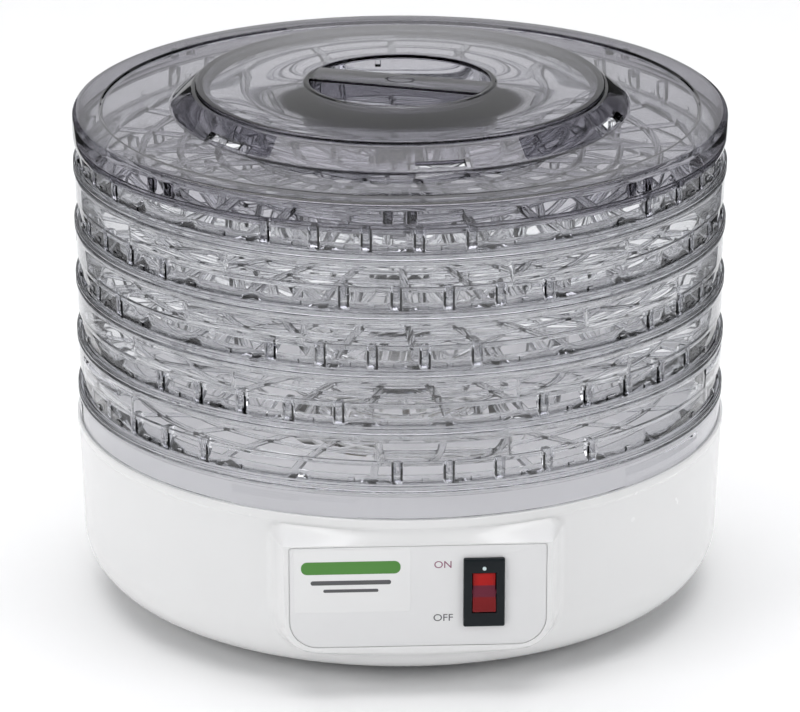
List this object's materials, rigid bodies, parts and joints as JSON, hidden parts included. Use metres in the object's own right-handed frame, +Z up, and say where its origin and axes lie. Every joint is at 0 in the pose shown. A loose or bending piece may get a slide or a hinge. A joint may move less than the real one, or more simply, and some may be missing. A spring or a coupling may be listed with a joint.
{
  "type": "food dehydrator",
  "caption": "Round countertop food dehydrator: white base with fan heater and rocker switch, stacked clear trays and a smoke-tinted lid with a turning vent dial.",
  "frame": {"origin": "on the floor, at the middle of the base", "axes": "+Z up along the stack, front panel towards -Y"},
  "size_m": [0.3234, 0.3346, 0.2593],
  "materials": {
    "white_gloss": "gloss white moulded plastic",
    "deck_white": "satin white heat-resistant plastic",
    "label_white": "satin white printed plate",
    "clear_tray": "clear moulded plastic",
    "smoke_lid": "smoke-tinted clear moulded plastic",
    "black_plastic": "gloss black plastic",
    "red_rocker": "translucent red plastic",
    "pale_dot": "pale painted dot",
    "rubber_grey": "soft grey rubber",
    "zinc_steel": "zinc-plated steel",
    "galvanised": "thin galvanised sheet",
    "mica": "mica board",
    "heater_wire": "oxidised resistance wire",
    "lamination": "stacked electrical steel",
    "winding": "enamelled copper winding",
    "bronze": "sintered bronze",
    "fan_plastic": "natural nylon",
    "dark_plastic": "matt black plastic",
    "terminal_plastic": "cream nylon"
  },
  "bodies": {
    "base": {"base_housing": "white_gloss", "base_bowl": "white_gloss", "panel_boss": "white_gloss", "faceplate": "label_white", "switch_housing": "black_plastic", "switch_terminals": "zinc_steel", "pilot_dot": "pale_dot", "bottom_plate": "dark_plastic", "rubber_feet": "rubber_grey", "base_screws": "zinc_steel", "deck_plate": "deck_white", "deck_screws": "zinc_steel", "air_grille": "deck_white", "air_duct": "galvanised", "heater_frame": "mica", "heater_coil": "heater_wire", "thermostat": "zinc_steel", "thermal_fuse": "zinc_steel", "fuse_clip": "terminal_plastic", "motor_core": "lamination", "motor_coil": "winding", "lower_bridge": "zinc_steel", "upper_bridge": "zinc_steel", "shaft_bushes": "bronze", "motor_screws": "zinc_steel", "cord_gland": "dark_plastic", "gland_nut": "dark_plastic", "terminal_block": "terminal_plastic"},
    "rocker": {"rocker": "red_rocker"},
    "fan": {"fan_blade": "fan_plastic", "motor_shaft": "zinc_steel", "rotor": "lamination", "fan_clip": "zinc_steel"},
    "tray_5": {"tray_5_wall": "clear_tray", "tray_5_floor": "clear_tray"},
    "tray_4": {"tray_4_wall": "clear_tray", "tray_4_floor": "clear_tray"},
    "tray_3": {"tray_3_wall": "clear_tray", "tray_3_floor": "clear_tray"},
    "tray_2": {"tray_2_wall": "clear_tray", "tray_2_floor": "clear_tray"},
    "tray_1": {"tray_1_wall": "clear_tray", "tray_1_floor": "clear_tray"},
    "lid": {"lid_shell": "smoke_lid"},
    "vent_dial": {"vent_dial": "smoke_lid", "vent_shutter": "smoke_lid"}
  },
  "joints": [
    {"name": "rocker_tilt", "type": "hinge", "parent": "base", "child": "rocker", "pos_m": [0.0312, -0.1637, 0.0553], "axis": [1, 0, 0], "range_deg": [0, 20]},
    {"name": "fan_spin", "type": "hinge", "parent": "base", "child": "fan", "pos_m": [0, 0, 0.05], "axis": [0, 0, 1], "continuous": true},
    {"name": "tray_5_lift", "type": "slide", "parent": "base", "child": "tray_5", "axis": [0, 0, 1], "range_m": [0, 0.05]},
    {"name": "tray_4_lift", "type": "slide", "parent": "tray_5", "child": "tray_4", "axis": [0, 0, 1], "range_m": [0, 0.05]},
    {"name": "tray_3_lift", "type": "slide", "parent": "tray_4", "child": "tray_3", "axis": [0, 0, 1], "range_m": [0, 0.05]},
    {"name": "tray_2_lift", "type": "slide", "parent": "tray_3", "child": "tray_2", "axis": [0, 0, 1], "range_m": [0, 0.05]},
    {"name": "tray_1_lift", "type": "slide", "parent": "tray_2", "child": "tray_1", "axis": [0, 0, 1], "range_m": [0, 0.05]},
    {"name": "lid_lift", "type": "slide", "parent": "tray_1", "child": "lid", "axis": [0, 0, 1], "range_m": [0, 0.06]},
    {"name": "vent_turn", "type": "hinge", "parent": "lid", "child": "vent_dial", "pos_m": [0, 0, 0.25], "axis": [0, 0, 1], "range_deg": [0, 24]}
  ]
}
